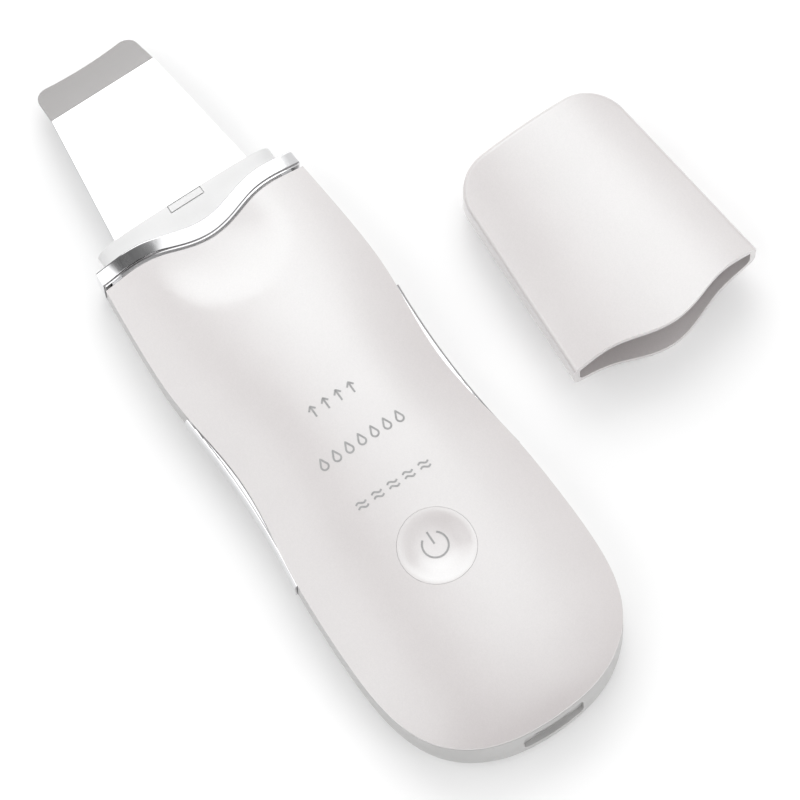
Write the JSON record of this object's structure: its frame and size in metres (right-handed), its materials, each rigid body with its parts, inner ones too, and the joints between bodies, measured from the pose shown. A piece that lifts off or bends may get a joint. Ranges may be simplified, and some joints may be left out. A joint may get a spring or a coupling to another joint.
{
  "type": "skin scrubber",
  "caption": "Handheld ultrasonic skin scrubber: waisted pearl-white handle with chrome trims, bent steel blade, dished power key and a pull-off cap beside it.",
  "frame": {"origin": "middle of the handle's flat back, the face that it lies on", "axes": "+Y along the handle towards the blade's tip, +Z out of the front face (up), +X to the side where the cap lies"},
  "size_m": [0.1101, 0.1618, 0.0165],
  "materials": {
    "pearl_cover": "pearl white paint, soft gloss",
    "back_plastic": "light grey moulded plastic, fine satin",
    "head_plastic": "white moulded plastic, satin",
    "ring_chrome": "mirror chrome plating",
    "trim_chrome": "mirror chrome plating",
    "blade_steel": "polished spring steel, darker bent tip",
    "seal_rubber": "soft grey silicone",
    "cap_plastic": "pearl white paint, soft gloss",
    "key_plastic": "pearl white paint, soft gloss",
    "horn_aluminium": "machined",
    "screw_steel": "zinc plated",
    "piezo_ceramic": "silvered ceramic",
    "board_laminate": "green solder mask",
    "chip_black": "moulded epoxy",
    "ferrite": "sintered ferrite",
    "copper_wire": "enamelled copper",
    "light_lens": "clear epoxy",
    "contact_brass": "sprung brass",
    "lead_insulation": "wire insulation",
    "cell_pouch": "laminated pouch",
    "pad_foam": "foam tape",
    "socket_steel": "tin plated",
    "tongue_black": "moulded",
    "switch_black": "moulded",
    "plunger_plastic": "moulded"
  },
  "bodies": {
    "handle": {"front_cover": "pearl_cover", "back_cover": "back_plastic", "trim_ring": "ring_chrome", "left_side_trim": "trim_chrome", "right_side_trim": "trim_chrome", "head_base": "head_plastic", "blade": "blade_steel", "blade_seal": "seal_rubber", "transducer_block": "horn_aluminium", "clamp_plate": "horn_aluminium", "clamp_screws": "screw_steel", "piezo_disc": "piezo_ceramic", "switch_body": "switch_black", "main_board": "board_laminate", "board_screws": "screw_steel", "controller_chip": "chip_black", "transformer_core": "ferrite", "transformer_winding": "copper_wire", "small_board_parts": "ferrite", "mode_lights": "light_lens", "left_trim_contact": "contact_brass", "right_trim_contact": "contact_brass", "transducer_leads": "lead_insulation", "battery_leads": "lead_insulation", "battery_cell": "cell_pouch", "battery_pad": "pad_foam", "charge_socket": "socket_steel", "socket_tongue": "tongue_black"},
    "power_button": {"power_key": "key_plastic", "switch_plunger": "plunger_plastic"},
    "cap": {"cap": "cap_plastic"}
  },
  "joints": [
    {"name": "power_button_press", "type": "slide", "parent": "handle", "child": "power_button", "axis": [0, 0, -1], "range_m": [0, 0.0004], "stiffness_N_per_m": 3500, "springref_m": -0.0002},
    {"name": "cap_pull", "type": "slide", "parent": "handle", "child": "cap", "axis": [-0.0262, 0.9997, 0], "range_m": [0, 0.043]}
  ]
}
